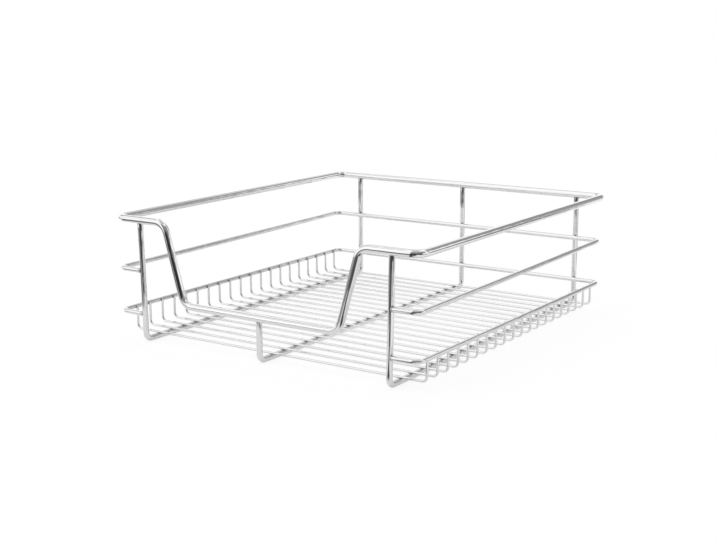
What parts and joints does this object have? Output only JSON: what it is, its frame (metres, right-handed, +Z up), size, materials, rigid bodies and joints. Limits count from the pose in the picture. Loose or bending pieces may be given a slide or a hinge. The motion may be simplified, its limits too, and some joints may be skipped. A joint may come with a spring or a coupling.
{
  "type": "pull-out cabinet basket",
  "caption": "Open rectangular basket of bent chromed wire with a dipped front, side rails, floor bearers and closely spaced cross wires, made to slide out of a kitchen cabinet on runners.",
  "frame": {"origin": "middle of the footprint, on the surface that the undersides of the bearers stand on", "axes": "+Z up; -Y towards the front, where the rim dips; +Y towards the back; +X to the right of someone facing the front"},
  "size_m": [0.432, 0.48, 0.154],
  "materials": {
    "rim_wire": "bright chrome plating on smooth round steel wire, the heaviest gauge",
    "rail_wire": "bright chrome plating on smooth round steel wire",
    "bearer_wire": "bright chrome plating on smooth round steel wire, slightly dulled at the welds",
    "floor_wire": "bright chrome plating on thin steel wire, softer reflections than the heavy wires"
  },
  "bodies": {
    "root": {"rim": "rim_wire", "mid_rail": "rail_wire", "lower_rail": "rail_wire", "bearer_left": "bearer_wire", "bearer_centre": "bearer_wire", "bearer_right": "bearer_wire", "cross_wire_01": "floor_wire", "cross_wire_02": "floor_wire", "cross_wire_03": "floor_wire", "cross_wire_04": "floor_wire", "cross_wire_05": "floor_wire", "cross_wire_06": "floor_wire", "cross_wire_07": "floor_wire", "cross_wire_08": "floor_wire", "cross_wire_09": "floor_wire", "cross_wire_10": "floor_wire", "cross_wire_11": "floor_wire", "cross_wire_12": "floor_wire", "cross_wire_13": "floor_wire", "cross_wire_14": "floor_wire", "cross_wire_15": "floor_wire", "cross_wire_16": "floor_wire", "cross_wire_17": "floor_wire", "cross_wire_18": "floor_wire", "cross_wire_19": "floor_wire", "cross_wire_20": "floor_wire"}
  },
  "joints": []
}
